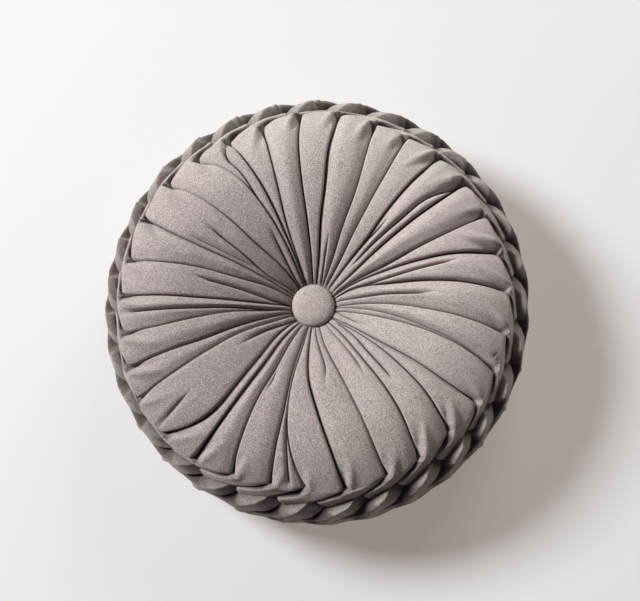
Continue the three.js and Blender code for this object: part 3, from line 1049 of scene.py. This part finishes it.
# %% Make the velvet
def velvet(name, root, tip, with_folds):
    """A velvet from its roots' colour to its tips'. with_folds adds painted shade in folds and round the
    button.
    """
    m = Material(name)
    place = m.node("ShaderNodeTexCoord", output=3)
    patches = noise(m, place, PATCH_SCALE, 3.0, 0.55)
    pile = noise(m, place, PILE_SCALE, 1.0, 0.6)
    tufts = noise(m, place, TUFT_SCALE, 1.0, 0.6)
    side_x = m.node("ShaderNodeSeparateXYZ", None, 0, Vector=place) * (1 / SHADING_RADIUS)
    side_y = m.node("ShaderNodeSeparateXYZ", None, 1, Vector=place) * (1 / SHADING_RADIUS)
    outwards = side_x * side_x + side_y * side_y
    # Painted light: lighter towards the +x +y corner of the cushion, darker towards the opposite one.
    painted_corner_light = outwards ** 0.5 * (side_x + side_y) * (CORNERWISE * CORNER_LIGHT)
    grain = (tufts - 0.5) * TUFT_TONE + (pile - 0.5) * PILE_TONE
    tone = (patches - 0.5) * PATCH_TONE + grain + painted_corner_light + USUAL_TONE
    if with_folds:
        # Painted shade: darker round the button, most of all on the side towards -x.
        near_hub = (outwards + HUB_SHADE_SPREAD) ** -1.0
        tone = tone + near_hub * (side_x * HUB_SHADE_LEAN - HUB_SHADE) + HUB_SHADE
    cast = spread(m, noise(m, place, CAST_SCALE, 2.0), *CAST_RANGE)
    tips = mixed(m, cast, tip, tinted(tip, OLIVE))
    colour = mixed(m, spread(m, tone, 0.0, 1.0), root, tips)
    if with_folds:
        # Painted shade: where little light reaches a point, its colour goes towards the darkened roots.
        light = m.node("ShaderNodeAttribute", {"attribute_name": "painted_crease_shade"}, 2)
        colour = mixed(m, spread(m, light, 0.0, FULLY_LIT), tinted(root, CREASE_SHADE_TINT), colour)
    m.feed("Base Color", colour)
    m.const("Roughness", 0.9)
    m.const("Specular IOR Level", 0.15)
    m.const("Sheen Weight", 0.35)
    m.const("Sheen Roughness", 0.4)
    m.const("Sheen Tint", (0.95, 0.9, 0.86, 1.0))
    height = pile * PILE_HEIGHT + tufts * TUFT_HEIGHT
    bump = m.node("ShaderNodeBump", None, 0, Strength=0.9, Distance=0.0012, Height=height)
    m.feed("Normal", bump)
    return m.material


velvet_material = velvet("short pile velvet", COVER_ROOT, COVER_TIP, True)
button_material = velvet("velvet on the button", BUTTON_ROOT, BUTTON_TIP, False)
cover.data.materials.append(velvet_material)
for button in (button_front, button_rear):
    button.data.materials.append(button_material)
for material in (velvet_material, button_material):
    print(material.name, "has", len(material.node_tree.nodes), "nodes")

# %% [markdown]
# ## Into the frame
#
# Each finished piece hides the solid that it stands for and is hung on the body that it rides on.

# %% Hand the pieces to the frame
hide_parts("cover")
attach(cover, "root")
for button, node in ((button_front, "button_top"), (button_rear, "button_back")):
    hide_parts(node)
    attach(button, "root")
print("handed over:", cover.name, button_front.name, button_rear.name)

# %% [markdown]
# ## A plain studio
#
# The photograph shows a pale floor and soft daylight from the upper left. The floor gives off a
# little light of its own. This keeps the shadow as pale as a white room would.

# %% Floor
FLOOR_SIDE = 6.0
FLOOR_DROP = 0.0005
bpy.ops.mesh.primitive_plane_add(size=FLOOR_SIDE, location=(0, 0, -FLOOR_DROP))
floor = bpy.context.object
floor.name = "studio_floor"
floor_material = Material("pale floor")
floor_material.const("Base Color", (0.46, 0.455, 0.453, 1.0))
floor_material.const("Roughness", 0.85)
floor_material.const("Emission Color", (1.0, 0.87, 0.80, 1.0))
floor_material.const("Emission Strength", 0.27)
floor.data.materials.append(floor_material.material)
print("floor of", floor.dimensions.x, "m")

# %% [markdown]
# ## Light
#
# One large disc stands for the window and gives the soft shadow at the lower right. A second, weak
# one at the upper right lifts the shadow sides of the pleats, as a bright wall would. The world
# only fills in what is left.

# %% World
world = bpy.data.worlds.new("studio")
world.use_nodes = True
background = world.node_tree.nodes["Background"]
background.inputs["Color"].default_value = (1.0, 0.945, 0.90, 1.0)
background.inputs["Strength"].default_value = 0.05
bpy.context.scene.world = world
bpy.context.scene.view_settings.view_transform = "Standard"
print("world light:", round(background.inputs["Strength"].default_value, 2))


# %% Windows
def aim(holder, place, target, up=(0.0, 0.0, 1.0)):
    """Put a light or the camera at a place, looking at a target, with its top towards up."""
    holder.location = place
    back = (Vector(place) - Vector(target)).normalized()
    right = Vector(up).cross(back).normalized()
    top = back.cross(right)
    holder.rotation_euler = Matrix((right, top, back)).transposed().to_euler()


def area_light(name, place, target, size, power, colour):
    """A round area light. Place, target and size are in metres, power is in watts."""
    lamp = bpy.data.lights.new(name, "AREA")
    lamp.shape = "DISK"
    lamp.size = size
    lamp.energy = power
    lamp.color = colour
    holder = bpy.data.objects.new(name, lamp)
    bpy.context.collection.objects.link(holder)
    aim(holder, place, target)
    print(name, power, "W at", place)
    return holder


CUSHION_MIDDLE = (0, 0, 0.05)
WINDOW_SIZE = 1.5
area_light("window", (-2.96, 1.26, 2.7), CUSHION_MIDDLE, WINDOW_SIZE, 290.0, (0.96, 1.0, 1.02))
area_light("second window", (0.90, 1.98, 1.25), CUSHION_MIDDLE, WINDOW_SIZE, 24.0, (0.99, 1.0, 0.97))

# %% [markdown]
# ## Camera
#
# The photograph was taken from nearly above, tilted a little so that the wall shows at the bottom.
# The lens is chosen so that the cushion covers as many of the picture's pixels as it does there.

# %% Camera
VIEW_TILT = math.radians(14.0)
VIEW_SIDE = math.radians(14.0)
VIEW_DISTANCE = 1.4
TARGET = (0.0022, 0.0091, 0.05)
SENSOR_WIDTH = 36.0
CUSHION_WIDTH = 0.380
CUSHION_PIXELS = 425
PICTURE_PIXELS = 640
back = (
    math.sin(VIEW_TILT) * math.sin(VIEW_SIDE),
    -math.sin(VIEW_TILT) * math.cos(VIEW_SIDE),
    math.cos(VIEW_TILT),
)
camera_data = bpy.data.cameras.new("photo camera")
camera = bpy.data.objects.new("photo camera", camera_data)
bpy.context.collection.objects.link(camera)
aim(camera, tuple(t + VIEW_DISTANCE * b for t, b in zip(TARGET, back)), TARGET, (0.0, 1.0, 0.0))
camera_data.sensor_fit = "HORIZONTAL"
camera_data.sensor_width = SENSOR_WIDTH
view_width = CUSHION_WIDTH * PICTURE_PIXELS / CUSHION_PIXELS
camera_data.lens = SENSOR_WIDTH * VIEW_DISTANCE / view_width
bpy.context.scene.camera = camera
print("lens", round(camera_data.lens, 1), "mm,", VIEW_DISTANCE, "m away")
